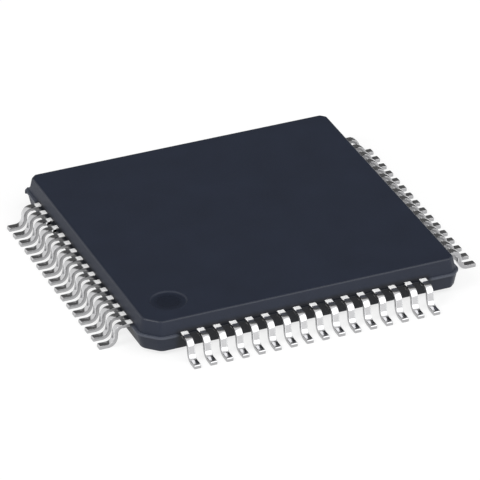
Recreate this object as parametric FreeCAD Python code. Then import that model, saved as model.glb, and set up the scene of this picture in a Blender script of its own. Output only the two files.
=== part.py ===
import FreeCAD, Part
import math
import os

# Quad flat pack integrated circuit: a drafted epoxy moulding over a stamped lead frame, with the
# die on its paddle inside and gull-wing leads on all four sides. Sizes are millimetres.
# The origin is the centre of the seating plane, under the feet of the leads. +Z is up through the
# top face. Pin 1 is the first lead of the front side (-Y), next to the dimple, and the pins are
# numbered counter-clockwise seen from above. Corners are counted the same way, from 0 at pin 1.

# Lead rows
LEADS_PER_SIDE = 16
LEAD_PITCH = 0.50
LEAD_WIDTH = 0.22
LEAD_THICKNESS = 0.127
LEADS_PER_NODE = 4

# Gull wing, from the body wall outwards
LEAD_REACH = 0.96
SHOULDER_LENGTH = 0.215
SHOULDER_BEND = 0.15
SHANK_LEAN = 6.0
FOOT_BEND = 0.18
BEND_FLATS = 4

# Moulded body
STANDOFF = 0.12
BODY_THICKNESS = 0.98
PARTING_HEIGHT = 0.50
ROW_END_MARGIN = 1.25
DRAFT_ANGLE = 12.0
UPPER_LEDGE = 0.08
LOWER_LEDGE = 0.03
RIM_THICKNESS = 0.06
CORNER_FLAT = 0.26
PIN_1_CORNER_FLAT = 0.52
CORNER_EASE = 0.10
PIN_1_CORNER_EASE = 0.16
EDGE_ROUND = 0.05

# Pin 1 dimple in the top face
DIMPLE_DIAMETER = 1.10
DIMPLE_DEPTH = 0.04
DIMPLE_SLOPE = 0.04
DIMPLE_INSET = 1.24

# Stub left by the filling gate, on the back-left corner flat
GATE_WIDTH = 0.20
GATE_HEIGHT = 0.13
GATE_LENGTH = 0.08
GATE_CORNER = 3

# Ejector pin marks in the underside
EJECTOR_DIAMETER = 1.20
EJECTOR_DEPTH = 0.03
EJECTOR_INSET = 2.00
EJECTOR_CORNERS = (1, 3)

# Paddle and the bars that hold it to the corners of the frame
PADDLE_SIZE = 6.00
PADDLE_DOWNSET = 0.20
TIE_BAR_WIDTH = 0.26
TIE_BAR_RAMP_START = 0.25
TIE_BAR_RAMP_RUN = 0.30
TIE_BAR_COVER = 0.30

# Inner stretch of each lead
TIP_GAP = 0.25
TIP_WIDTH = 0.15
ANCHOR_LENGTH = 0.40
TIE_BAR_GAP = 0.25

# Die and the layer that fixes it
DIE_SIZE = 4.20
DIE_THICKNESS = 0.28
ATTACH_THICKNESS = 0.02
ATTACH_MARGIN = 0.06

# Bond wires
WIRE_SIZE = 0.025
WIRE_LOOP = 0.13
PAD_INSET = 0.10
PAD_ROW_MARGIN = 0.45
STITCH_INSET = 0.25

# Worked out from the sizes above
SIDES = 4
CORNER_HEADING = 180.0 / SIDES
ROW_LENGTH = (LEADS_PER_SIDE - 1) * LEAD_PITCH
BODY_HALF = ROW_LENGTH / 2 + ROW_END_MARGIN
BODY_BOTTOM = STANDOFF
BODY_TOP = STANDOFF + BODY_THICKNESS
LEAD_MIDDLE = STANDOFF + PARTING_HEIGHT
LEAD_TOP = LEAD_MIDDLE + LEAD_THICKNESS / 2
LEAD_UNDER = LEAD_MIDDLE - LEAD_THICKNESS / 2
PADDLE_TOP = LEAD_TOP - PADDLE_DOWNSET
PADDLE_UNDER = LEAD_UNDER - PADDLE_DOWNSET
DIE_BOTTOM = PADDLE_TOP + ATTACH_THICKNESS
DIE_TOP = DIE_BOTTOM + DIE_THICKNESS
TIP_LINE = PADDLE_SIZE / 2 + TIP_GAP
UP = FreeCAD.Vector(0, 0, 1)
CENTRE = FreeCAD.Vector(0, 0, 0)


def prism(points, sweep):
    """Extrude the closed outline through points along the vector sweep."""
    return Part.Face(Part.makePolygon(points + points[:1])).extrude(sweep)


def on_side(shape, side):
    """Turn a shape made for the front side round to another side, counter-clockwise."""
    turned = shape.copy()
    turned.rotate(CENTRE, UP, side * 360.0 / SIDES)
    return turned


def corner_lines(corner, flat, ease):
    """Heading and distance from the centre of a corner's three lines and of the side after it."""
    half_turn = CORNER_HEADING / 2
    lean = math.radians(half_turn)
    flat_line = (2 * BODY_HALF - flat) / math.sqrt(2)
    ease_line = BODY_HALF * math.cos(lean) + (BODY_HALF - flat - ease) * math.sin(lean)
    distances = [ease_line, flat_line, ease_line, BODY_HALF]
    start = 180 + corner * 360.0 / SIDES
    return [(start + (k + 1) * half_turn, distance) for k, distance in enumerate(distances)]


def meeting_point(first, second, height):
    """Point at one height where two lines, each a heading and a distance, cross."""
    (a, near), (b, far) = [(math.radians(heading), distance) for heading, distance in (first, second)]
    x = (near * math.sin(b) - far * math.sin(a)) / math.sin(b - a)
    y = (far * math.cos(a) - near * math.cos(b)) / math.sin(b - a)
    return FreeCAD.Vector(x, y, height)


def body_outline(inset, height):
    """Corners of the body outline at one height, drawn in by inset with its lines kept parallel."""
    flats = [PIN_1_CORNER_FLAT, CORNER_FLAT, CORNER_FLAT, CORNER_FLAT]
    eases = [PIN_1_CORNER_EASE, CORNER_EASE, CORNER_EASE, CORNER_EASE]
    lines = []
    for corner, (flat, ease) in enumerate(zip(flats, eases)):
        lines += [(heading, far - inset) for heading, far in corner_lines(corner, flat, ease)]
    return [meeting_point(lines[k - 1], lines[k], height) for k in range(len(lines))]


def drafted_block(lower, upper):
    """Solid between two outlines that have the same number of corners."""
    faces = [Part.Face(Part.makePolygon(ring + ring[:1])) for ring in (lower, upper)]
    for k in range(len(lower)):
        after = (k + 1) % len(lower)
        quad = [lower[k], lower[after], upper[after], upper[k], lower[k]]
        faces.append(Part.Face(Part.makePolygon(quad)))
    return Part.Solid(Part.Shell(faces))


def body_half(outer_height, rim_height, ledge):
    """One mould half, from its flat face to the parting rim, with the flat face's edges rounded."""
    rise = abs(outer_height - rim_height)
    inset = ledge + rise * math.tan(math.radians(DRAFT_ANGLE))
    heights = sorted([(outer_height, inset), (rim_height, ledge)])
    lower, upper = [body_outline(drawn_in, height) for height, drawn_in in heights]
    block = drafted_block(lower, upper)
    edges = [edge for edge in block.Edges if all(abs(v.Z - outer_height) < 1e-6 for v in edge.Vertexes)]
    return block.makeFillet(EDGE_ROUND, edges)


def pin_1_dimple():
    """Shallow round recess in the top face, by the corner where the pin count starts."""
    place = DIMPLE_INSET - BODY_HALF
    floor = FreeCAD.Vector(place, place, BODY_TOP - DIMPLE_DEPTH)
    radius = DIMPLE_DIAMETER / 2
    recess = Part.makeCone(radius - DIMPLE_SLOPE, radius, DIMPLE_DEPTH, floor, UP)
    mouth = Part.makeCylinder(radius, DIMPLE_DEPTH, floor + UP * DIMPLE_DEPTH, UP)
    return recess.fuse(mouth)


def ejector_marks():
    """Shallow round marks that the mould's ejector pins leave in the underside."""
    place = EJECTOR_INSET - BODY_HALF
    base = FreeCAD.Vector(place, place, BODY_BOTTOM - EJECTOR_DEPTH)
    mark = Part.makeCylinder(EJECTOR_DIAMETER / 2, 2 * EJECTOR_DEPTH, base, UP)
    return [on_side(mark, corner) for corner in EJECTOR_CORNERS]


def gate_stub():
    """Short end of compound left under the parting line, on a corner flat, where the mould was filled."""
    flat = BODY_HALF * math.sqrt(2) - CORNER_FLAT / math.sqrt(2)
    root = FreeCAD.Vector(flat - GATE_WIDTH, -GATE_WIDTH / 2, LEAD_MIDDLE - GATE_HEIGHT)
    stub = Part.makeBox(GATE_WIDTH + GATE_LENGTH, GATE_WIDTH, GATE_HEIGHT, root)
    stub.rotate(CENTRE, UP, 180 + CORNER_HEADING)
    return on_side(stub, GATE_CORNER)


def moulded_body(insets):
    """Epoxy moulding, hollowed to the exact shape of everything it was moulded around."""
    rim_bottom = LEAD_MIDDLE - RIM_THICKNESS / 2
    rim_top = LEAD_MIDDLE + RIM_THICKNESS / 2
    rim = prism(body_outline(0, rim_bottom), UP * RIM_THICKNESS)
    lower = body_half(BODY_BOTTOM, rim_bottom, LOWER_LEDGE)
    upper = body_half(BODY_TOP, rim_top, UPPER_LEDGE)
    body = rim.fuse([lower, upper, gate_stub()]).removeSplitter()
    body = body.cut([pin_1_dimple()] + ejector_marks())
    return body.cut(insets).removeSplitter()


def along(angle):
    """Unit vector in the lead's side view: outwards at 0 degrees, upwards at 90."""
    return FreeCAD.Vector(0, -math.cos(math.radians(angle)), math.sin(math.radians(angle)))


def bend(centre, radius, start, end):
    """Points round a bend in the lead's side view, which the lead follows in short flats."""
    step = (end - start) / BEND_FLATS
    return [centre + along(start + k * step) * radius for k in range(BEND_FLATS + 1)]


def gull_wing(lead_x):
    """Outer stretch of one front lead: shoulder, bend, leaning shank, bend and flat foot."""
    half_thickness = LEAD_THICKNESS / 2
    turn = 90 - SHANK_LEAN
    shoulder_radius = SHOULDER_BEND + half_thickness
    foot_radius = FOOT_BEND + half_thickness
    drop = LEAD_MIDDLE - half_thickness
    bend_drop = (shoulder_radius + foot_radius) * (1 - math.cos(math.radians(turn)))
    shank = (drop - bend_drop) / math.sin(math.radians(turn))
    left = lead_x - LEAD_WIDTH / 2

    wall = FreeCAD.Vector(left, -BODY_HALF, LEAD_MIDDLE)
    bend_start = wall + along(0) * SHOULDER_LENGTH
    shoulder_centre = bend_start - UP * shoulder_radius
    shank_top = shoulder_centre + along(90 - turn) * shoulder_radius
    shank_end = shank_top + along(-turn) * shank
    foot_centre = shank_end + along(90 - turn) * foot_radius
    toe = FreeCAD.Vector(left, -BODY_HALF - LEAD_REACH, 0)

    profile = [wall + UP * half_thickness]
    profile += bend(shoulder_centre, shoulder_radius + half_thickness, 90, 90 - turn)
    profile += bend(foot_centre, FOOT_BEND, 270 - turn, 270)
    profile += [toe + UP * LEAD_THICKNESS, toe]
    profile += bend(foot_centre, foot_radius + half_thickness, 270, 270 - turn)
    profile += bend(shoulder_centre, SHOULDER_BEND, 90 - turn, 90)
    profile += [wall - UP * half_thickness]
    return prism(profile, FreeCAD.Vector(LEAD_WIDTH, 0, 0))


def row_offset(index):
    """How many pitches a lead lies from the middle of its row."""
    return index - (LEADS_PER_SIDE - 1) / 2


def tip_pitch():
    """Spacing of the inner tips, which share the room between two tie bars."""
    bar_edge = TIP_LINE - TIE_BAR_WIDTH / math.sqrt(2)
    row_half = bar_edge - TIE_BAR_GAP * math.sqrt(2) - TIP_WIDTH / 2
    return 2 * row_half / (LEADS_PER_SIDE - 1)


def finger_ends(index):
    """Where the slanting inner finger of one front lead leaves its anchor, and its tip."""
    anchor = FreeCAD.Vector(row_offset(index) * LEAD_PITCH, ANCHOR_LENGTH - BODY_HALF, LEAD_UNDER)
    tip = FreeCAD.Vector(row_offset(index) * tip_pitch(), -TIP_LINE, LEAD_UNDER)
    return anchor, tip


def inner_lead(index):
    """Inner stretch of one front lead: a straight anchor and a finger that narrows to its tip."""
    anchor, tip = finger_ends(index)
    wall = FreeCAD.Vector(anchor.x, -BODY_HALF, LEAD_UNDER)
    half_lead = FreeCAD.Vector(LEAD_WIDTH / 2, 0, 0)
    half_tip = FreeCAD.Vector(TIP_WIDTH / 2, 0, 0)
    left = [wall - half_lead, anchor - half_lead, tip - half_tip]
    right = [tip + half_tip, anchor + half_lead, wall + half_lead]
    return prism(left + right, UP * LEAD_THICKNESS)


def lead(index):
    """One whole front lead, from its tip beside the paddle to its toe."""
    outer = gull_wing(row_offset(index) * LEAD_PITCH)
    return outer.fuse(inner_lead(index)).removeSplitter()


def tie_bar():
    """Bar along +X that steps up from the paddle's level to the leads' level."""
    corner = PADDLE_SIZE / 2 * math.sqrt(2)
    root = corner - TIE_BAR_WIDTH
    ramp_start = corner + TIE_BAR_RAMP_START
    ramp_end = ramp_start + TIE_BAR_RAMP_RUN
    flat = BODY_HALF * math.sqrt(2) - PIN_1_CORNER_FLAT / math.sqrt(2)
    end = flat - UPPER_LEDGE - TIE_BAR_COVER
    outline = [
        (root, PADDLE_UNDER),
        (ramp_start, PADDLE_UNDER),
        (ramp_end, LEAD_UNDER),
        (end, LEAD_UNDER),
        (end, LEAD_TOP),
        (ramp_end, LEAD_TOP),
        (ramp_start, PADDLE_TOP),
        (root, PADDLE_TOP),
    ]
    points = [FreeCAD.Vector(x, -TIE_BAR_WIDTH / 2, z) for x, z in outline]
    return prism(points, FreeCAD.Vector(0, TIE_BAR_WIDTH, 0))


def die_paddle():
    """Square plate, set down below the leads, with a tie bar from each corner."""
    corner = FreeCAD.Vector(-PADDLE_SIZE / 2, -PADDLE_SIZE / 2, PADDLE_UNDER)
    plate = Part.makeBox(PADDLE_SIZE, PADDLE_SIZE, LEAD_THICKNESS, corner)
    bar = tie_bar()
    bar.rotate(CENTRE, UP, CORNER_HEADING)
    return plate.fuse([on_side(bar, side) for side in range(SIDES)]).removeSplitter()


def square_layer(size, bottom, thickness):
    """Centred square slab."""
    return Part.makeBox(size, size, thickness, FreeCAD.Vector(-size / 2, -size / 2, bottom))


def bond_wire(index):
    """One front bond wire: up from its pad on the die, then down to a wedge on its lead's finger."""
    pad_pitch = (DIE_SIZE - 2 * PAD_ROW_MARGIN) / (LEADS_PER_SIDE - 1)
    pad = FreeCAD.Vector(row_offset(index) * pad_pitch, PAD_INSET - DIE_SIZE / 2, 0)
    anchor, tip = finger_ends(index)
    back = (anchor - tip).normalize() * STITCH_INSET
    stitch = FreeCAD.Vector(tip.x + back.x, tip.y + back.y, 0)
    span = (stitch - pad).Length
    half = WIRE_SIZE / 2
    peak = DIE_TOP + WIRE_LOOP
    slope = (peak - LEAD_TOP) / (span + half)
    outline = [
        (-half, DIE_TOP),
        (-half, peak),
        (span, LEAD_TOP),
        (span - WIRE_SIZE / slope, LEAD_TOP),
        (half, peak - WIRE_SIZE - WIRE_SIZE * slope),
        (half, DIE_TOP),
    ]
    wire = prism([FreeCAD.Vector(x, -half, z) for x, z in outline], FreeCAD.Vector(0, WIRE_SIZE, 0))
    heading = math.degrees(math.atan2(stitch.y - pad.y, stitch.x - pad.x))
    wire.rotate(CENTRE, UP, heading)
    wire.translate(pad)
    return wire


def numbered_groups(name, make_one):
    """Nodes of LEADS_PER_NODE pieces each, named by the pins they belong to, round all four sides."""
    row = [make_one(index) for index in range(LEADS_PER_SIDE)]
    pieces = [on_side(piece, side) for side in range(SIDES) for piece in row]
    groups = {}
    for first in range(0, len(pieces), LEADS_PER_NODE):
        group = pieces[first:first + LEADS_PER_NODE]
        groups["%s_%02d_%02d" % (name, first + 1, first + len(group))] = group
    return groups


def build():
    """All nodes of the part, as named lists of solids."""
    nodes = {
        "die_paddle": [die_paddle()],
        "die_attach": [square_layer(DIE_SIZE + 2 * ATTACH_MARGIN, PADDLE_TOP, ATTACH_THICKNESS)],
        "silicon_die": [square_layer(DIE_SIZE, DIE_BOTTOM, DIE_THICKNESS)],
    }
    nodes.update(numbered_groups("leads", lead))
    nodes.update(numbered_groups("bond_wires", bond_wire))
    insets = [solid for group in nodes.values() for solid in group]
    nodes["mould_body"] = [moulded_body(insets)]
    return nodes


os.makedirs("parts", exist_ok=True)
for node, solids in build().items():
    shape = solids[0] if len(solids) == 1 else Part.makeCompound(solids)
    shape.exportStep("parts/%s.step" % node)
    print(node, len(shape.Solids), round(shape.Volume, 5), shape.isValid())
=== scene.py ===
import math

import bmesh
import bpy
from bpy.props import (
    FloatProperty,
    FloatVectorProperty,
    IntProperty,
    PointerProperty,
)
from bpy.types import Operator, Panel, PropertyGroup
from mathutils import Matrix, Vector


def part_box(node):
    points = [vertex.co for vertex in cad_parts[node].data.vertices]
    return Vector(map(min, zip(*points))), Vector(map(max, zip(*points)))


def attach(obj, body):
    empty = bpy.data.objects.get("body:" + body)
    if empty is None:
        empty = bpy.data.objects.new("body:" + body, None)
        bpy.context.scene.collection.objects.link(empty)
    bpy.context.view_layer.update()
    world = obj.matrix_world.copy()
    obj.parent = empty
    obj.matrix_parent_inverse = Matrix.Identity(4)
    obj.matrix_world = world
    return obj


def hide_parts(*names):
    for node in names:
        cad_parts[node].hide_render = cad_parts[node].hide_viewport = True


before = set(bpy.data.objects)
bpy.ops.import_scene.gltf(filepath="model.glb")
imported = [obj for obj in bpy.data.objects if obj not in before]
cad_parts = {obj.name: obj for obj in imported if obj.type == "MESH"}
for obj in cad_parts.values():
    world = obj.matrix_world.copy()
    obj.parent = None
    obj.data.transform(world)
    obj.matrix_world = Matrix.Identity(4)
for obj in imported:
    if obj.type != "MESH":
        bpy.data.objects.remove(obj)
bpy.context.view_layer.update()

bl_info = {
    "name": "Quad flat pack",
    "version": (1, 0, 0),
    "blender": (4, 5, 0),
    "location": "3D View > Sidebar > Chip",
    "description": "Moulding, formed leads, inner parts and studio for a quad flat pack chip",
    "category": "Object",
}

# All sizes are metres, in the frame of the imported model. The front row of leads runs along X
# at the lowest Y, and pin 1 is in the corner of the lowest X and Y.
BODY = "root"
BODY_LOW, BODY_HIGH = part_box("mould_body")
TOE_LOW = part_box("leads_01_04")[0]
UP = Vector((0, 0, 1))
SIDES = 4
LEADS_PER_NODE = 4

# Distances under which corners count as level, and as one point
SAME_LEVEL = 1e-8
SAME_POINT = 1e-7

# Angles in radians: edges sharper than the first stay sharp in the shading, and edges of a
# lead sharper than the second are rounded
SHARP_SHADING = 0.6
SQUARE_EDGE = 1.0

# The flat ring round a recess: its radius in radii of the recess, and its corners
COLLAR = 1.06
COLLAR_CORNERS = 80

# Name, place and side of each area lamp; its strength is the setting of the same name
LAMPS = (
    ("side_lamp", (-0.31, -0.06, 0.27), 0.22),
    ("front_lamp", (0.14, -0.3, 0.28), 0.58),
)
IMAGE_SIDE = 480


def length(name, default, description):
    """A size in metres, as a property of the sidebar."""
    return FloatProperty(
        name=name, description=description, default=default, unit="LENGTH", precision=6
    )


def angle(name, degrees, description):
    """An angle, as a property of the sidebar."""
    return FloatProperty(
        name=name, description=description, default=math.radians(degrees), subtype="ANGLE"
    )


def share(name, default, description, highest=1.0):
    """A share or a strength, as a property of the sidebar."""
    return FloatProperty(
        name=name, description=description, default=default, min=0.0, max=highest, precision=3
    )


def colour(name, default, description):
    """A colour, as a property of the sidebar."""
    return FloatVectorProperty(
        name=name,
        description=description,
        default=default,
        size=3,
        min=0.0,
        max=1.0,
        subtype="COLOR",
    )


class ChipMouldingSettings(PropertyGroup):
    """Sizes and finish of the moulded body."""

    half_side: length("Half side", BODY_HIGH.x, "From the centre to the rim's outer edge")
    underside: length("Underside", BODY_LOW.z, "Height of the lower flat face")
    top: length("Top", BODY_HIGH.z, "Height of the upper flat face")
    parting: length("Parting height", 0.00062, "Height of the parting plane")
    rim: length("Rim thickness", 0.00006, "Thickness of the parting rim")
    upper_ledge: length("Upper ledge", 0.00008, "Step from the rim in to the upper mould half")
    lower_ledge: length("Lower ledge", 0.00003, "Step from the rim in to the lower mould half")
    draft: angle("Draft", 12.0, "Lean of the walls")
    corner_flat: length("Corner flat", 0.00026, "Length cut off each side at a plain corner")
    pin_1_flat: length("Pin 1 corner flat", 0.00052, "The same length at the corner of pin 1")
    corner_ease: length("Corner easing", 0.0001, "Length eased at each end of a corner flat")
    pin_1_ease: length("Pin 1 corner easing", 0.00016, "The same length at the corner of pin 1")
    edge_round: length("Edge rounding", 0.00005, "Rounding of the flat faces' edges")
    rim_top_round: length("Upper rim rounding", 0.00005, "Rounding of the rim's upper edge")
    rim_low_round: length("Lower rim rounding", 0.000008, "Rounding of the rim's lower edge")
    dimple_radius: length("Dimple radius", 0.00055, "Radius of the pin 1 dimple at its mouth")
    dimple_slope: length("Dimple slope", 0.00004, "How far the dimple's wall leans in")
    dimple_depth: length("Dimple depth", 0.00004, "Depth of the pin 1 dimple")
    dimple_round: length("Dimple rounding", 0.000026, "Rounding of the dimple's edges")
    dimple_inset: length("Dimple inset", 0.00124, "From the rim's outer edges to its centre")
    ejector_radius: length("Ejector mark radius", 0.0006, "Radius of the ejector marks")
    ejector_slope: length("Ejector mark slope", 0.000005, "How far a mark's wall leans in")
    ejector_depth: length("Ejector mark depth", 0.00003, "Depth of the ejector marks")
    ejector_round: length("Ejector mark rounding", 0.000006, "Rounding of a mark's edges")
    ejector_inset: length("Ejector mark inset", 0.002, "From the rim's outer edges to a centre")
    gate_width: length("Gate width", 0.0002, "Width of the gate stub")
    gate_height: length("Gate height", 0.00013, "Height of the gate stub")
    gate_length: length("Gate length", 0.00008, "How far the stub stands out of its corner flat")
    gate_round: length("Gate rounding", 0.000015, "Rounding of the gate stub's edges")
    # Half the length, along each side, of the painted shade between the leads
    row_half: length("Row half length", 0.0039, "Half the length of the stain round a row")
    compound: colour("Compound", (0.0148, 0.0197, 0.0352), "Colour of the moulding compound")
    # Painted highlight: a paler colour along the parting rim
    painted_rim_highlight: colour("Flash", (0.074, 0.082, 0.106), "Colour of the resin along the rim")
    # Painted shade: a dark colour on the wall between the leads
    painted_shade_between_leads: colour("Trimmed wall", (0.007, 0.0085, 0.013), "Colour of the wall between leads")
    # Painted highlight: a lighter colour on the rounded edges
    painted_edge_highlight: colour("Worn edge", (0.021, 0.026, 0.041), "Colour of the rubbed, rounded edges")


class ChipLeadSettings(PropertyGroup):
    """Sizes and finish of the leads."""

    per_side: IntProperty(
        name="Leads per side", description="Leads on each side", default=16, min=1
    )
    pitch: length("Pitch", 0.0005, "Spacing of the leads at the wall")
    width: length("Width", 0.00022, "Width of a lead")
    thickness: length("Thickness", 0.000127, "Thickness of a lead")
    shoulder: length("Shoulder length", 0.000215, "Level stretch from the rim to the first bend")
    shoulder_bend: length("Shoulder bend", 0.00015, "Inner radius of the first bend")
    foot_bend: length("Foot bend", 0.00018, "Inner radius of the second bend")
    lean: angle("Shank lean", 6.0, "Lean of the shank from upright")
    toe: length("Toe", -TOE_LOW.y, "From the centre to the end of the foot")
    edge_round: length("Edge rounding", 0.000024, "Rounding of the long edges")
    toe_round: length("Toe rounding", 0.00004, "Rounding that shearing leaves on the toe's top")
    anchor: length("Anchor length", 0.0004, "Straight stretch inside the wall")
    tip_line: length("Tip line", 0.00325, "From the centre to the inner tips")
    tip_width: length("Tip width", 0.00015, "Width of an inner tip")
    tip_pitch: length("Tip pitch", 0.0003517, "Spacing of the inner tips")
    bend_steps: IntProperty(
        name="Bend steps", description="Faces round each bend", default=12, min=2
    )
    # Painted highlight: the near-white matt patch on each lead's top by the wall
    matt_highlight_stretch: length("Blasted stretch", 0.000088, "Stretch by the wall where the top is matt")
    tin: colour("Tin", (0.63, 0.63, 0.64), "Colour of the tin plate")


class ChipStudioSettings(PropertyGroup):
    """Camera, lamps and floor."""

    azimuth: angle("Camera azimuth", -22.014, "Turn of the camera round the chip, from the front")
    elevation: angle("Camera elevation", 29.741, "Height of the camera above the horizon")
    roll: angle("Camera roll", -0.861, "Turn of the picture about the line of sight")
    distance: length("Camera distance", 0.15438, "From the camera to the point that it looks at")
    target_x: length("Target X", 0.0001888, "Point that the camera looks at, along X")
    target_y: length("Target Y", 0.0004309, "Point that the camera looks at, along Y")
    focal_pixels: FloatProperty(
        name="Focal length", description="Focal length in pixels of the picture", default=5173.8
    )
    floor_half: length("Floor half side", 0.6, "From the centre to the floor's edges")
    floor_drop: length("Floor drop", 0.000002, "How far the floor lies under the feet")
    floor_colour: colour("Floor", (0.9, 0.9, 0.9), "Colour of the floor")
    floor_glow: share("Floor glow", 0.71, "Share of plain white in the floor as it is seen")
    floor_white: share("Floor white", 1.1, "Strength of that plain white", 10.0)
    sky: share("Sky", 0.35, "Strength of the even light from all round", 10.0)
    bright_side: share("Bright side", 0.9, "Strength of the room, in reflections")
    dark_side: share("Dark side", 0.11, "Strength of the dark side of the room, in reflections")
    side_lamp: share("Side lamp", 0.7, "Strength of the lamp on the left", 10.0)
    front_lamp: share("Front lamp", 1.5, "Strength of the lamp in front", 10.0)


# Mesh helpers


def square_cap(bm, width, height, place, turn):
    """One upright rectangle, as the start of an extrusion."""
    scale = Matrix.Diagonal((width, height, 1, 1))
    made = bmesh.ops.create_grid(
        bm,
        x_segments=1,
        y_segments=1,
        size=0.5,
        matrix=Matrix.Translation(place) @ turn @ scale,
    )
    return made["verts"][0].link_faces[0]


def pull_face(bm, face, offset):
    """Extrude a face by an offset and return the face at the new end."""
    made = bmesh.ops.extrude_face_region(bm, geom=[face])["geom"]
    verts = [item for item in made if isinstance(item, bmesh.types.BMVert)]
    bmesh.ops.translate(bm, verts=verts, vec=offset)
    return [item for item in made if isinstance(item, bmesh.types.BMFace)][0]


def swing_face(bm, face, centre, turn, steps):
    """Sweep a face round an axis along X and return the face at the new end."""
    made = bmesh.ops.spin(
        bm,
        geom=[face],
        cent=centre,
        axis=(1, 0, 0),
        angle=turn,
        steps=steps,
        use_merge=False,
        use_duplicate=False,
    )["geom_last"]
    return [item for item in made if isinstance(item, bmesh.types.BMFace)][0]


def in_plane(item, axis, place):
    """Whether all corners of an edge or a face lie in one plane across an axis."""
    return all(abs(getattr(v.co, axis) - place) < SAME_LEVEL for v in item.verts)


def ease_corners(bm, verts, offset, segments):
    """Cut or round some corners of a flat outline."""
    bmesh.ops.bevel(
        bm,
        geom=verts,
        offset=offset,
        offset_type="OFFSET",
        segments=segments,
        profile=0.5,
        affect="VERTICES",
        material=-1,
    )


def soften(bm, edges, offset, segments):
    """Round some edges."""
    bmesh.ops.bevel(
        bm,
        geom=edges,
        offset=offset,
        offset_type="OFFSET",
        segments=segments,
        profile=0.5,
        affect="EDGES",
        material=-1,
        clamp_overlap=True,
    )


def ring_step(bm, ring, centre, factor, drop):
    """Extrude a closed ring of edges, scale it about its centre and lower it."""
    made = bmesh.ops.extrude_edge_only(bm, edges=ring)["geom"]
    verts = [item for item in made if isinstance(item, bmesh.types.BMVert)]
    bmesh.ops.scale(
        bm,
        verts=verts,
        vec=(factor, factor, 1),
        space=Matrix.Translation((-centre[0], -centre[1], 0)),
    )
    bmesh.ops.translate(bm, verts=verts, vec=(0, 0, -drop))
    moved = set(verts)
    edges = [item for item in made if isinstance(item, bmesh.types.BMEdge)]
    return [e for e in edges if all(v in moved for v in e.verts)]


def sink_recess(bm, height, places, radius, slope, depth, rounding):
    """Sink round recesses into the flat face at one height; a negative depth sinks upwards.

    The face gets an inset border and each recess a flat collar, so that the rounding of the
    edges doesn't tilt the shading of the flat between them.
    """
    collar = radius * COLLAR
    border = radius / 12
    face = max((f for f in bm.faces if in_plane(f, "z", height)), key=lambda f: f.calc_area())
    bmesh.ops.inset_region(bm, faces=[face], thickness=border, depth=0, use_even_offset=True)
    outline = list(face.edges)
    bmesh.ops.delete(bm, geom=[face], context="FACES_ONLY")
    rings = []
    for x, y in places:
        made = bmesh.ops.create_circle(
            bm,
            cap_ends=False,
            segments=COLLAR_CORNERS,
            radius=collar,
            matrix=Matrix.Translation((x, y, height)),
        )
        rings.append(list({e for v in made["verts"] for e in v.link_edges}))
    bmesh.ops.triangle_fill(
        bm,
        edges=outline + [e for ring in rings for e in ring],
        use_beauty=True,
        use_dissolve=False,
    )
    for place, ring in zip(places, rings):
        mouth = ring_step(bm, ring, place, factor=radius / collar, drop=0)
        floor = ring_step(bm, mouth, place, factor=(radius - slope) / radius, drop=depth)
        bmesh.ops.edgeloop_fill(bm, edges=floor)
        soften(bm, mouth + floor, rounding, segments=4)


def finish_mesh(bm, name, body, material):
    """Turn a bmesh into a piece of the chip, smooth but for its sharp edges."""
    bmesh.ops.remove_doubles(bm, verts=bm.verts, dist=SAME_POINT)
    bmesh.ops.recalc_face_normals(bm, faces=bm.faces)
    for face in bm.faces:
        face.smooth = True
    for edge in bm.edges:
        edge.smooth = edge.calc_face_angle(0) < SHARP_SHADING
    mesh = bpy.data.meshes.new(name)
    bm.to_mesh(mesh)
    bm.free()
    piece = bpy.data.objects.new(name, mesh)
    bpy.context.scene.collection.objects.link(piece)
    mesh.materials.append(material)
    weighting = piece.modifiers.new("even_shading", "WEIGHTED_NORMAL")
    weighting.keep_sharp = True
    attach(piece, body)
    return piece


# Material helpers


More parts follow.
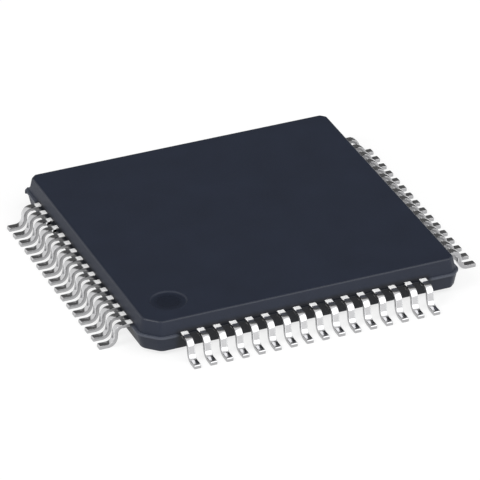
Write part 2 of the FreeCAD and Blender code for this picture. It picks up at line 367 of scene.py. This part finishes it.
class Nodes:
    """Short calls for building one node tree."""

    def __init__(self, tree):
        self.tree = tree

    def add(self, kind, **values):
        """A new node, with values for its own attributes."""
        node = self.tree.nodes.new(kind)
        for key, value in values.items():
            setattr(node, key, value)
        return node

    def link(self, source, target):
        """Join an output socket to an input socket."""
        self.tree.links.new(source, target)

    def feed(self, socket, value):
        """Give a socket a number, a colour or a link."""
        if isinstance(value, bpy.types.NodeSocket):
            self.link(value, socket)
        else:
            socket.default_value = value

    def math(self, operation, *values):
        """A Math node on sockets or numbers."""
        node = self.add("ShaderNodeMath", operation=operation)
        for socket, value in zip(node.inputs, values):
            self.feed(socket, value)
        return node.outputs[0]

    def split(self, vector):
        """The X, Y and Z sockets of a vector."""
        node = self.add("ShaderNodeSeparateXYZ")
        self.link(vector, node.inputs[0])
        return node.outputs["X"], node.outputs["Y"], node.outputs["Z"]

    def facing(self, axis):
        """How far the shaded normal points along one axis, without its sign."""
        normal = self.add("ShaderNodeNewGeometry").outputs["Normal"]
        return self.math("ABSOLUTE", self.split(normal)["XYZ".index(axis)])

    def noise(self, vector, scale, detail, roughness):
        """A noise value with features about one over scale metres wide."""
        node = self.add("ShaderNodeTexNoise", noise_dimensions="3D")
        self.feed(node.inputs["Vector"], vector)
        self.feed(node.inputs["Scale"], scale)
        self.feed(node.inputs["Detail"], detail)
        self.feed(node.inputs["Roughness"], roughness)
        return node.outputs["Fac"]

    def spread(self, value, low, high, to_low=0.0, to_high=1.0):
        """Map a range of a value to another range, with clamping."""
        node = self.add("ShaderNodeMapRange", clamp=True)
        self.feed(node.inputs["Value"], value)
        self.feed(node.inputs["From Min"], low)
        self.feed(node.inputs["From Max"], high)
        self.feed(node.inputs["To Min"], to_low)
        self.feed(node.inputs["To Max"], to_high)
        return node.outputs["Result"]

    def between(self, mask, at_zero, at_one):
        """One value where a mask is 0, another where it is 1, and a mix between."""
        return self.spread(mask, 0.0, 1.0, at_zero, at_one)

    def blend(self, factor, a, b):
        """Mix two colours."""
        node = self.add("ShaderNodeMix", data_type="RGBA")
        self.feed(node.inputs["Factor"], factor)
        for socket, value in ((node.inputs[6], a), (node.inputs[7], b)):
            self.feed(socket, value)
        return node.outputs[2]


def rgba(value, shade=1.0):
    """A colour property with full alpha, darkened by a factor."""
    return (*(shade * part for part in value), 1.0)


def new_group(name, inputs, outputs):
    """An empty shader node group with named sockets of the given kinds."""
    tree = bpy.data.node_groups.new(name, "ShaderNodeTree")
    for label, kind in inputs:
        tree.interface.new_socket(label, in_out="INPUT", socket_type=kind)
    for label, kind in outputs:
        tree.interface.new_socket(label, in_out="OUTPUT", socket_type=kind)
    nodes = Nodes(tree)
    return nodes, nodes.add("NodeGroupInput").outputs, nodes.add("NodeGroupOutput").inputs


def speckle_group():
    """Even surface broken by broad mottling and fine grains, shared by all materials."""
    if "speckled_surface" in bpy.data.node_groups:
        return bpy.data.node_groups["speckled_surface"]
    nodes, given, result = new_group(
        "speckled_surface",
        [
            ("Vector", "NodeSocketVector"),
            ("Colour", "NodeSocketColor"),
            ("Grain Scale", "NodeSocketFloat"),
            ("Grain Strength", "NodeSocketFloat"),
            ("Mottle Scale", "NodeSocketFloat"),
            ("Mottle Strength", "NodeSocketFloat"),
        ],
        [
            ("Colour", "NodeSocketColor"),
            ("Grain", "NodeSocketFloat"),
            ("Mottle", "NodeSocketFloat"),
        ],
    )
    grain = nodes.noise(given["Vector"], given["Grain Scale"], detail=3.0, roughness=0.6)
    mottle = nodes.noise(given["Vector"], given["Mottle Scale"], detail=2.0, roughness=0.5)
    fine = nodes.math("MULTIPLY", nodes.math("SUBTRACT", grain, 0.5), given["Grain Strength"])
    broad = nodes.math("MULTIPLY", nodes.math("SUBTRACT", mottle, 0.5), given["Mottle Strength"])
    level = nodes.math("ADD", nodes.math("ADD", fine, broad), 1.0)
    scaled = nodes.add("ShaderNodeVectorMath", operation="SCALE")
    nodes.link(given["Colour"], scaled.inputs[0])
    nodes.link(level, scaled.inputs["Scale"])
    nodes.link(scaled.outputs[0], result["Colour"])
    nodes.link(grain, result["Grain"])
    nodes.link(mottle, result["Mottle"])
    return nodes.tree


def new_material(name):
    """A material with its node helper, its Principled shader and its Object coordinates."""
    material = bpy.data.materials.new(name)
    material.use_nodes = True
    nodes = Nodes(material.node_tree)
    shader = material.node_tree.nodes["Principled BSDF"]
    place = nodes.add("ShaderNodeTexCoord").outputs["Object"]
    return material, nodes, shader, place


def speckle(nodes, place, tint, grain_size, grain, mottle_size, mottle):
    """Place the shared speckle group with its own values; sizes are metres."""
    node = nodes.add("ShaderNodeGroup", node_tree=speckle_group())
    nodes.link(place, node.inputs["Vector"])
    nodes.feed(node.inputs["Colour"], tint)
    nodes.feed(node.inputs["Grain Scale"], 1 / grain_size)
    nodes.feed(node.inputs["Grain Strength"], grain)
    nodes.feed(node.inputs["Mottle Scale"], 1 / mottle_size)
    nodes.feed(node.inputs["Mottle Strength"], mottle)
    return node.outputs


def vary(nodes, noise, low, high):
    """Spread the middle of a noise over a range, for a roughness."""
    return nodes.spread(noise, 0.3, 0.7, low, high)


def bump(nodes, shader, height, distance):
    """Feed a height into the shader's normal."""
    node = nodes.add("ShaderNodeBump")
    node.inputs["Distance"].default_value = distance
    nodes.link(height, node.inputs["Height"])
    nodes.link(node.outputs["Normal"], shader.inputs["Normal"])


# Materials


def dimple_reach(nodes, s, x, y):
    """Level distance from the centre of the pin 1 dimple."""
    flat = nodes.add("ShaderNodeCombineXYZ")
    nodes.link(x, flat.inputs[0])
    nodes.link(y, flat.inputs[1])
    away = nodes.add("ShaderNodeVectorMath", operation="DISTANCE")
    nodes.link(flat.outputs[0], away.inputs[0])
    centre = s.dimple_inset - s.half_side
    away.inputs[1].default_value = (centre, centre, 0)
    return away.outputs["Value"]


def edge_highlight_mask(nodes, s, reach):
    """1 on the rounded edges, which face neither up nor out, but for the dimple's; they get a
    painted highlight and less roughness.
    """
    upward = nodes.facing("Z")
    off_the_walls = nodes.spread(upward, 0.3, 0.5)
    off_the_flats = nodes.spread(upward, 0.98, 0.9)
    rounded = nodes.math("MULTIPLY", off_the_walls, off_the_flats)
    beside = nodes.spread(reach, s.dimple_radius, s.dimple_radius * COLLAR)
    return nodes.math("MULTIPLY", rounded, beside)


def between_leads_shade_mask(nodes, s, across, deep, z):
    """1 on the wall between the leads of a row, up to just over the parting rim, where painted
    shade goes.
    """
    row_end = s.row_half + 0.00015
    wall_foot = s.half_side - 0.00018
    wall_face = s.half_side - 0.00012
    full_height = s.parting + 0.00008
    end_height = s.parting + 0.0002
    inside = nodes.spread(nodes.math("MINIMUM", across, deep), row_end, s.row_half)
    outer = nodes.spread(nodes.math("MAXIMUM", across, deep), wall_foot, wall_face)
    low = nodes.spread(z, end_height, full_height)
    return nodes.math("MULTIPLY", nodes.math("MULTIPLY", inside, outer), low)


def rim_mask(nodes, s, z):
    """1 on the parting rim, where a painted highlight goes."""
    away = nodes.math("ABSOLUTE", nodes.math("SUBTRACT", z, s.parting))
    rim_end = s.rim / 2 + 0.000003
    return nodes.spread(away, s.rim / 2, rim_end, 1.0, 0.0)


def compound_material(s):
    """Bluish black epoxy with grains of filler.

    The dimple's floor is smoother and darker, the rounded edges are smoother and lighter as a
    painted highlight, the rim is paler as a painted highlight and the wall between the leads is
    painted shade.
    """
    material, nodes, shader, place = new_material("mould_compound")
    surface = speckle(
        nodes, place, rgba(s.compound), grain_size=0.00003, grain=0.5, mottle_size=0.0012,
        mottle=0.35,
    )
    x, y, z = nodes.split(place)
    across = nodes.math("ABSOLUTE", x)
    deep = nodes.math("ABSOLUTE", y)

    # The dimple is the only recess of the upper half; the rest is plain.
    reach = dimple_reach(nodes, s, x, y)
    beside = nodes.spread(reach, s.dimple_radius * 0.55, s.dimple_radius)
    upper_half = nodes.spread(z, s.parting, s.parting + 0.0001)
    plain = nodes.math("MAXIMUM", beside, nodes.math("SUBTRACT", 1.0, upper_half))
    edge = edge_highlight_mask(nodes, s, reach)

    base = nodes.blend(plain, rgba(s.compound, shade=0.75), surface["Colour"])
    # Painted highlight on the rounded edges
    base = nodes.blend(edge, base, rgba(s.painted_edge_highlight))
    # Painted highlight along the parting rim
    base = nodes.blend(rim_mask(nodes, s, z), base, rgba(s.painted_rim_highlight))
    # Painted shade on the wall between the leads
    base = nodes.blend(between_leads_shade_mask(nodes, s, across, deep, z), base, rgba(s.painted_shade_between_leads))
    nodes.link(base, shader.inputs["Base Color"])

    rough = vary(nodes, surface["Grain"], low=0.42, high=0.56)
    rough = nodes.math("MULTIPLY", rough, nodes.between(edge, 1.0, 0.55))
    rough = nodes.math("MULTIPLY", rough, nodes.between(plain, 0.45, 1.0))
    nodes.link(rough, shader.inputs["Roughness"])
    shader.inputs["Specular IOR Level"].default_value = 0.3
    grain = nodes.math("MULTIPLY", surface["Grain"], plain)
    bump(nodes, shader, grain, distance=0.000004)
    return material


def tin_material(s, body):
    """Tin plate on the formed leads: matt and near-white on top by the wall as a painted
    highlight, duller on the sheared toe end and darker on the long sides as painted shade.
    """
    material, nodes, shader, place = new_material("tin_plate")
    surface = speckle(
        nodes, place, rgba(s.tin), grain_size=0.00002, grain=0.12, mottle_size=0.0004, mottle=0.2
    )
    x, y, z = nodes.split(place)
    across = nodes.math("ABSOLUTE", x)
    deep = nodes.math("ABSOLUTE", y)
    out = nodes.math("MAXIMUM", across, deep)

    # The matt mask is 1 on the upper face near the wall, where the near-white colour is a painted
    # highlight.
    edge = body.half_side + s.matt_highlight_stretch
    fade = 0.00002
    top = body.parting + s.thickness / 2
    side_top = top - 0.0000235
    face_edge = top - 0.0000135
    near_wall = nodes.spread(out, edge - fade, edge + fade, 1.0, 0.0)
    matt_painted_highlight = nodes.math("MULTIPLY", near_wall, nodes.spread(z, side_top, face_edge))

    # This mask is 1 on the toe's end, which was sheared, and on the long sides, which are darkened
    # as painted shade. These face along the row, which is X in front and at the back, and Y on the
    # left and the right.
    side_row = nodes.math("GREATER_THAN", across, deep)
    along_row = nodes.between(side_row, nodes.facing("X"), nodes.facing("Y"))
    shaded_long_side = nodes.spread(along_row, 0.7, 0.9)
    toe_end = nodes.spread(out, s.toe - 0.000008, s.toe - 0.000004)
    sheared_toe_and_shaded_sides = nodes.math("MAXIMUM", toe_end, shaded_long_side)

    # Painted highlight: near-white, non-metal tin on top by the wall
    tint = nodes.blend(matt_painted_highlight, surface["Colour"], rgba((0.97, 0.97, 0.97)))
    # Darker: sheared metal on the toe's end, painted shade on the long sides
    tint = nodes.blend(sheared_toe_and_shaded_sides, tint, rgba(s.tin, shade=0.7))
    nodes.link(tint, shader.inputs["Base Color"])
    nodes.link(nodes.between(matt_painted_highlight, 1.0, 0.0), shader.inputs["Metallic"])
    rough = vary(nodes, surface["Mottle"], low=0.15, high=0.23)
    rough = nodes.math("MAXIMUM", rough, nodes.between(matt_painted_highlight, 0.0, 0.6))
    rough = nodes.math("MAXIMUM", rough, nodes.between(sheared_toe_and_shaded_sides, 0.0, 0.35))
    nodes.link(rough, shader.inputs["Roughness"])
    bump(nodes, shader, surface["Grain"], distance=0.00000015)
    return material


def metal_material(name, tint, grain_size, low, high):
    """Bare metal with a fine grain that varies its roughness between a low and a high."""
    material, nodes, shader, place = new_material(name)
    surface = speckle(
        nodes, place, tint, grain_size=grain_size, grain=0.2, mottle_size=grain_size * 20,
        mottle=0.2,
    )
    nodes.link(surface["Colour"], shader.inputs["Base Color"])
    shader.inputs["Metallic"].default_value = 1.0
    nodes.link(vary(nodes, surface["Grain"], low, high), shader.inputs["Roughness"])
    bump(nodes, shader, surface["Grain"], distance=grain_size * 0.02)
    return material


def paste_material():
    """Cured silver-filled paste."""
    material, nodes, shader, place = new_material("die_attach_paste")
    surface = speckle(
        nodes, place, (0.55, 0.55, 0.56, 1), grain_size=0.00001, grain=0.6, mottle_size=0.0002,
        mottle=0.3,
    )
    nodes.link(surface["Colour"], shader.inputs["Base Color"])
    rough = vary(nodes, surface["Grain"], low=0.45, high=0.7)
    nodes.link(rough, shader.inputs["Roughness"])
    bump(nodes, shader, surface["Grain"], distance=0.000002)
    return material


def silicon_material():
    """Polished silicon with the faint blocks of a circuit in its colour."""
    material, nodes, shader, place = new_material("silicon")
    surface = speckle(
        nodes, place, (0.12, 0.12, 0.16, 1), grain_size=0.00002, grain=0.1, mottle_size=0.0008,
        mottle=0.3,
    )
    cell_size = 0.0004
    cells = nodes.add("ShaderNodeTexVoronoi", distance="CHEBYCHEV")
    nodes.link(place, cells.inputs["Vector"])
    cells.inputs["Scale"].default_value = 1 / cell_size
    blocks = nodes.blend(cells.outputs["Distance"], (0.2, 0.12, 0.2, 1), (0.08, 0.14, 0.18, 1))
    nodes.link(nodes.blend(0.25, surface["Colour"], blocks), shader.inputs["Base Color"])
    nodes.link(vary(nodes, surface["Grain"], low=0.12, high=0.2), shader.inputs["Roughness"])
    return material


def floor_material(s):
    """White floor that takes soft shadows.

    Part of it glows for rays from the camera and from reflections, and from below it is clear
    to the camera.
    """
    material, nodes, shader, place = new_material("floor")
    surface = speckle(
        nodes, place, rgba(s.floor_colour), grain_size=0.002, grain=0.01, mottle_size=0.05,
        mottle=0.01,
    )
    nodes.link(surface["Colour"], shader.inputs["Base Color"])
    shader.inputs["Roughness"].default_value = 0.9
    shader.inputs["Specular IOR Level"].default_value = 0.0
    path = nodes.add("ShaderNodeLightPath").outputs
    seen = nodes.math("MAXIMUM", path["Is Camera Ray"], path["Is Glossy Ray"])
    glow = nodes.add("ShaderNodeEmission")
    glow.inputs["Strength"].default_value = s.floor_white
    mix = nodes.add("ShaderNodeMixShader")
    nodes.link(nodes.math("MULTIPLY", seen, s.floor_glow), mix.inputs[0])
    nodes.link(shader.outputs[0], mix.inputs[1])
    nodes.link(glow.outputs[0], mix.inputs[2])
    clear = nodes.add("ShaderNodeMixShader")
    under = nodes.add("ShaderNodeNewGeometry").outputs["Backfacing"]
    nodes.link(nodes.math("MULTIPLY", under, path["Is Camera Ray"]), clear.inputs[0])
    nodes.link(mix.outputs[0], clear.inputs[1])
    nodes.link(nodes.add("ShaderNodeBsdfTransparent").outputs[0], clear.inputs[2])
    nodes.link(clear.outputs[0], material.node_tree.nodes["Material Output"].inputs[0])
    return material


# Operators


class CHIP_OT_moulding(Operator):
    """Build the moulded body with its rim, rounded edges, dimple, ejector marks and gate stub"""

    bl_idname = "chip.moulding"
    bl_label = "Moulded body"

    def execute(self, context):
        s = context.scene.chip_moulding
        rim_top = s.parting + s.rim / 2
        rim_bottom = s.parting - s.rim / 2
        bm = bmesh.new()
        rim_face, lower_face = self.add_rim(bm, s, rim_bottom)
        for face, ledge, rise in (
            (rim_face, s.upper_ledge, s.top - s.parting - s.rim / 2),
            (lower_face, s.lower_ledge, rim_bottom - s.underside),
        ):
            bmesh.ops.inset_region(
                bm, faces=[face], thickness=ledge, depth=0, use_even_offset=True
            )
            bmesh.ops.inset_region(
                bm,
                faces=[face],
                thickness=rise * math.tan(s.draft),
                depth=rise,
                use_even_offset=True,
            )
        for height, rounding, segments in (
            (s.top, s.edge_round, 4),
            (s.underside, s.edge_round, 4),
            (rim_top, s.rim_top_round, 5),
            (rim_bottom, s.rim_low_round, 2),
        ):
            ring = [e for e in bm.edges if in_plane(e, "z", height) and e.is_convex]
            soften(bm, ring, rounding, segments)
        dimple = s.dimple_inset - s.half_side
        sink_recess(
            bm,
            s.top,
            [(dimple, dimple)],
            s.dimple_radius,
            s.dimple_slope,
            s.dimple_depth,
            s.dimple_round,
        )
        mark = s.half_side - s.ejector_inset
        sink_recess(
            bm,
            s.underside,
            [(mark, -mark), (-mark, mark)],
            s.ejector_radius,
            s.ejector_slope,
            -s.ejector_depth,
            s.ejector_round,
        )
        self.add_gate_stub(bm, s)
        piece = finish_mesh(bm, "moulded_body", BODY, compound_material(s))
        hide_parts("mould_body")
        return {"FINISHED"}

    def add_rim(self, bm, s, rim_bottom):
        """Slab of the parting rim with its corner flats; returns its upper and lower faces."""
        bmesh.ops.create_grid(
            bm,
            x_segments=1,
            y_segments=1,
            size=s.half_side,
            matrix=Matrix.Translation((0, 0, rim_bottom)),
        )
        corners = sorted(bm.verts, key=lambda v: v.co.x + v.co.y)
        for verts, flat in ((corners[:1], s.pin_1_flat), (corners[1:], s.corner_flat)):
            ease_corners(bm, verts, flat, segments=1)
        corners = sorted(bm.verts, key=lambda v: v.co.x + v.co.y)
        for verts, ease in ((corners[:2], s.pin_1_ease), (corners[2:], s.corner_ease)):
            ease_corners(bm, verts, ease, segments=6)
        rim_face = pull_face(bm, list(bm.faces)[0], UP * s.rim)
        bmesh.ops.recalc_face_normals(bm, faces=bm.faces)
        lower_face = [f for f in bm.faces if f.normal.z < -0.9][0]
        return rim_face, lower_face

    def add_gate_stub(self, bm, s):
        """Broken end of the gate on the back-left corner flat."""
        flat = (s.half_side * 2 - s.corner_flat) / math.sqrt(2)
        size = Matrix.Diagonal((s.gate_width + s.gate_length, s.gate_width, s.gate_height, 1))
        centre = Vector(
            (flat + (s.gate_length - s.gate_width) / 2, 0, s.parting - s.gate_height / 2)
        )
        back_left = math.radians(135)
        turn = Matrix.Rotation(back_left, 4, "Z")
        made = bmesh.ops.create_cube(bm, size=1.0, matrix=turn @ Matrix.Translation(centre) @ size)
        edges = list({e for v in made["verts"] for e in v.link_edges})
        soften(bm, edges, s.gate_round, segments=2)


class CHIP_OT_leads(Operator):
    """Build the formed leads, four to a piece, each with its inner finger"""

    bl_idname = "chip.leads"
    bl_label = "Formed leads"

    def execute(self, context):
        s = context.scene.chip_leads
        body = context.scene.chip_moulding
        material = tin_material(s, body)
        names = sorted(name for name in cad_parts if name.startswith("leads_"))
        if len(names) * LEADS_PER_NODE != SIDES * s.per_side:
            raise RuntimeError(
                "the frame's lead nodes don't add up to the leads of the settings"
            )
        for number, name in enumerate(names):
            bm = bmesh.new()
            first = number * LEADS_PER_NODE
            for pin in range(first, first + LEADS_PER_NODE):
                self.add_lead(bm, s, body, pin % s.per_side, pin // s.per_side)
            piece = finish_mesh(bm, "formed_" + name, BODY, material)
            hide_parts(name)
        return {"FINISHED"}

    def add_lead(self, bm, s, body, index, side):
        """One lead, formed in the front row, rounded and turned to its side.

        The rounding overlaps itself where the finger bends, inside the moulding.
        """
        part = bmesh.new()
        offset = index - (s.per_side - 1) / 2
        x = offset * s.pitch
        self.add_outer_part(part, s, body, x)
        self.add_inner_finger(part, s, body, x, offset * s.tip_pitch)
        bmesh.ops.recalc_face_normals(part, faces=part.faces)
        top_of_toe = Vector((x, -s.toe, s.thickness))
        lip = min(
            part.edges,
            key=lambda e: (sum((v.co for v in e.verts), Vector()) / 2 - top_of_toe).length,
        )
        soften(part, [lip], s.toe_round, segments=4)
        square = [e for e in part.edges if e.calc_face_angle(0) > SQUARE_EDGE]
        soften(part, square, s.edge_round, segments=2)
        bmesh.ops.rotate(
            part,
            verts=part.verts,
            cent=(0, 0, 0),
            matrix=Matrix.Rotation(side * 2 * math.pi / SIDES, 3, "Z"),
        )
        mesh = bpy.data.meshes.new("lead_form")
        part.to_mesh(mesh)
        part.free()
        bm.from_mesh(mesh)
        bpy.data.meshes.remove(mesh)

    def add_outer_part(self, part, s, body, x):
        """Shoulder, shank and foot, from the wall outwards."""
        level = body.parting
        half = s.thickness / 2
        turn = math.pi / 2 - s.lean
        shoulder_radius = s.shoulder_bend + half
        foot_radius = s.foot_bend + half
        drop = level - half - (shoulder_radius + foot_radius) * (1 - math.cos(turn))
        shank = drop / math.sin(turn)
        start = Vector((x, -body.half_side, level))
        upright = Matrix.Rotation(math.pi / 2, 4, "X")
        end = square_cap(part, s.width, s.thickness, start, upright)
        end = pull_face(part, end, Vector((0, -s.shoulder, 0)))
        centre = Vector((x, -body.half_side - s.shoulder, level - shoulder_radius))
        end = swing_face(part, end, centre, turn, s.bend_steps)
        down = Vector((0, -math.cos(turn), -math.sin(turn)))
        end = pull_face(part, end, down * shank)
        middle = end.calc_center_median()
        outward = Vector((0, -math.sin(turn), math.cos(turn)))
        end = swing_face(part, end, middle + outward * foot_radius, -turn, s.bend_steps)
        pull_face(part, end, Vector((0, -s.toe - end.calc_center_median().y, 0)))

    def add_inner_finger(self, part, s, body, x, tip_x):
        """Anchor and finger, from the wall inwards to the tip."""
        root = [f for f in part.faces if in_plane(f, "y", -body.half_side)][0]
        root = pull_face(part, root, Vector((0, s.anchor, 0)))
        inwards = Vector((tip_x - x, body.half_side - s.anchor - s.tip_line, 0))
        tip = pull_face(part, root, inwards)
        bmesh.ops.scale(
            part,
            verts=list(tip.verts),
            vec=(s.tip_width / s.width, 1, 1),
            space=Matrix.Translation((-tip_x, 0, 0)),
        )


class CHIP_OT_inner_parts(Operator):
    """Give the paddle, the die, its paste and the bond wires their finishes"""

    bl_idname = "chip.inner_parts"
    bl_label = "Inner parts"

    def execute(self, context):
        finishes = {
            "die_paddle": metal_material(
                "bare_copper", (0.75, 0.38, 0.24, 1), grain_size=0.00002, low=0.3, high=0.42
            ),
            "die_attach": paste_material(),
            "silicon_die": silicon_material(),
            "bond_wires": metal_material(
                "gold_wire", (0.9, 0.65, 0.25, 1), grain_size=0.00001, low=0.18, high=0.28
            ),
        }
        for name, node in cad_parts.items():
            for start, material in finishes.items():
                if name.startswith(start):
                    node.data.materials.clear()
                    node.data.materials.append(material)
        return {"FINISHED"}


class CHIP_OT_studio(Operator):
    """Set up the floor, the lamps, the sky and the camera"""

    bl_idname = "chip.studio"
    bl_label = "Studio"

    def execute(self, context):
        s = context.scene.chip_studio
        self.add_floor(context.scene, s)
        self.set_sky(context.scene, s)
        self.add_lamps(context.scene, s)
        self.add_camera(context.scene, s)
        context.scene.view_settings.view_transform = "Standard"
        return {"FINISHED"}

    def add_floor(self, scene, s):
        """Wide floor just under the feet."""
        bm = bmesh.new()
        bmesh.ops.create_grid(
            bm,
            x_segments=1,
            y_segments=1,
            size=s.floor_half,
            matrix=Matrix.Translation((0, 0, -s.floor_drop)),
        )
        mesh = bpy.data.meshes.new("floor")
        bm.to_mesh(mesh)
        bm.free()
        mesh.materials.append(floor_material(s))
        floor = bpy.data.objects.new("floor", mesh)
        scene.collection.objects.link(floor)

    def set_sky(self, scene, s):
        """White to the camera, even light on the chip, and reflections of a room whose back
        right side is dark.
        """
        world = bpy.data.worlds.new("studio")
        scene.world = world
        world.use_nodes = True
        nodes = Nodes(world.node_tree)
        background = world.node_tree.nodes["Background"]
        path = nodes.add("ShaderNodeLightPath").outputs
        x, y = nodes.split(nodes.add("ShaderNodeTexCoord").outputs["Generated"])[:2]
        rightwards = nodes.spread(nodes.math("MULTIPLY_ADD", y, 0.3, x), 0.0, 0.15)
        backwards = nodes.spread(y, 0.2, 0.42)
        dark = nodes.math("MULTIPLY", rightwards, backwards)
        mirrored = nodes.between(dark, s.bright_side, s.dark_side)
        lit = nodes.between(path["Is Glossy Ray"], s.sky, mirrored)
        seen = nodes.math("MAXIMUM", path["Is Camera Ray"], path["Is Transmission Ray"])
        background.inputs["Color"].default_value = (1, 1, 1, 1)
        nodes.link(nodes.between(seen, lit, 1.0), background.inputs["Strength"])

    def add_lamps(self, scene, s):
        """Square area lamps that face the chip."""
        for name, place, size in LAMPS:
            lamp = bpy.data.lights.new(name, "AREA")
            lamp.shape = "SQUARE"
            lamp.size = size
            lamp.energy = getattr(s, name)
            holder = bpy.data.objects.new(name, lamp)
            scene.collection.objects.link(holder)
            holder.location = place
            holder.rotation_euler = (-Vector(place)).to_track_quat("-Z", "Y").to_euler()

    def add_camera(self, scene, s):
        """Camera of the photo, from its turn, height, roll, distance and target."""
        back = Vector((
            math.sin(s.azimuth) * math.cos(s.elevation),
            -math.cos(s.azimuth) * math.cos(s.elevation),
            math.sin(s.elevation),
        ))
        level = Vector((math.cos(s.azimuth), math.sin(s.azimuth), 0))
        upright = back.cross(level)
        right = level * math.cos(s.roll) + upright * math.sin(s.roll)
        above = upright * math.cos(s.roll) - level * math.sin(s.roll)
        data = bpy.data.cameras.new("camera")
        data.sensor_width = 36.0
        data.lens = s.focal_pixels / IMAGE_SIDE * data.sensor_width
        data.clip_start = 0.01
        data.clip_end = 2.0
        camera = bpy.data.objects.new("camera", data)
        scene.collection.objects.link(camera)
        place = Vector((s.target_x, s.target_y, 0)) + back * s.distance
        turn = Matrix((right, above, back)).transposed().to_4x4()
        camera.matrix_world = Matrix.Translation(place) @ turn
        scene.camera = camera


class CHIP_PT_sidebar(Panel):
    """Lists the settings and the steps of the chip"""

    bl_idname = "CHIP_PT_sidebar"
    bl_label = "Quad flat pack"
    bl_space_type = "VIEW_3D"
    bl_region_type = "UI"
    bl_category = "Chip"

    def draw(self, context):
        for operator, settings in STEPS:
            self.layout.operator(operator)
            if settings:
                group = getattr(context.scene, settings)
                for name in group.bl_rna.properties.keys():
                    if name not in ("rna_type", "name"):
                        self.layout.prop(group, name)


# The operators in their order, each with the scene property that holds its settings
STEPS = (
    ("chip.moulding", "chip_moulding"),
    ("chip.leads", "chip_leads"),
    ("chip.inner_parts", None),
    ("chip.studio", "chip_studio"),
)
SETTINGS = {
    "chip_moulding": ChipMouldingSettings,
    "chip_leads": ChipLeadSettings,
    "chip_studio": ChipStudioSettings,
}
CLASSES = (
    *SETTINGS.values(),
    CHIP_OT_moulding,
    CHIP_OT_leads,
    CHIP_OT_inner_parts,
    CHIP_OT_studio,
    CHIP_PT_sidebar,
)


def register():
    for cls in CLASSES:
        bpy.utils.register_class(cls)
    for name, cls in SETTINGS.items():
        setattr(bpy.types.Scene, name, PointerProperty(type=cls))


def unregister():
    for name in SETTINGS:
        delattr(bpy.types.Scene, name)
    for cls in reversed(CLASSES):
        bpy.utils.unregister_class(cls)


def main():
    register()
    bpy.ops.chip.moulding()
    bpy.ops.chip.leads()
    bpy.ops.chip.inner_parts()
    bpy.ops.chip.studio()


if __name__ == "__main__":
    main()
